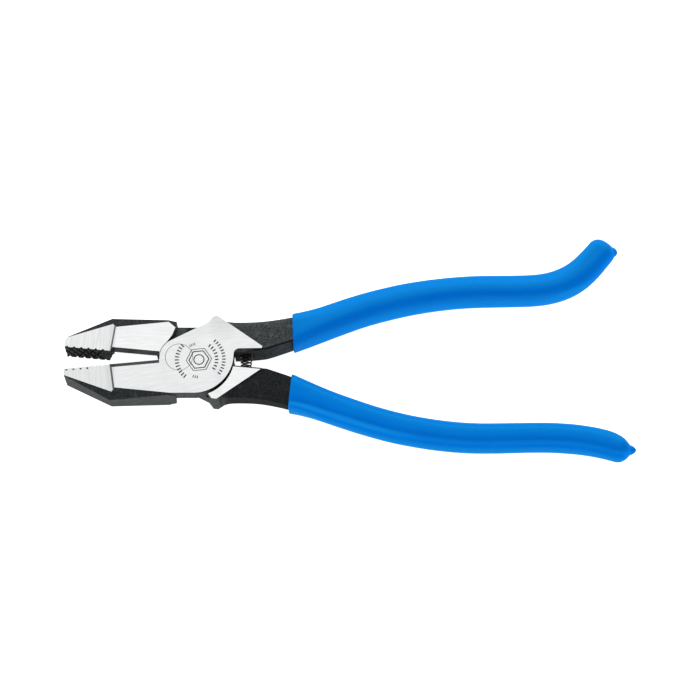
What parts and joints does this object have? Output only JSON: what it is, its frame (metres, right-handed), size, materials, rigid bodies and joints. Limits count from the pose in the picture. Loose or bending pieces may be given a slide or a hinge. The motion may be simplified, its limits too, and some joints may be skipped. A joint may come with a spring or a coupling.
{
  "type": "lineman pliers",
  "caption": "Side-cutting lineman pliers with a knurled nose, lap joint, self-opening coil spring, one hooked handle and smooth dipped blue grips.",
  "frame": {"origin": "on the pivot axis, in the plane of the ground rear faces that the tool lies on", "axes": "+X from the pivot towards the handles along the tool's middle line, +Y towards the hooked handle, +Z out of the front face"},
  "size_m": [0.2381, 0.0971, 0.0159],
  "materials": {
    "hook_forging": "forged steel, black oxide with faces ground bright",
    "straight_forging": "forged steel, black oxide with faces ground bright",
    "rivet": "ground flush and bright",
    "spring_wire": "dark oiled spring wire",
    "hook_dip": "soft dipped plastic, satin",
    "straight_dip": "soft dipped plastic, satin"
  },
  "bodies": {
    "hook_side": {"hook_half": "hook_forging", "pivot_rivet": "rivet", "return_spring": "spring_wire", "hook_grip": "hook_dip"},
    "straight_side": {"straight_half": "straight_forging", "straight_grip": "straight_dip"}
  },
  "joints": [
    {"name": "main_pivot", "type": "hinge", "parent": "hook_side", "child": "straight_side", "pos_m": [0, 0, 0.00795], "axis": [0, 0, 1], "range_deg": [-12, 10.8], "stiffness_Nm_per_rad": 1, "deforming": ["return_spring"]}
  ]
}
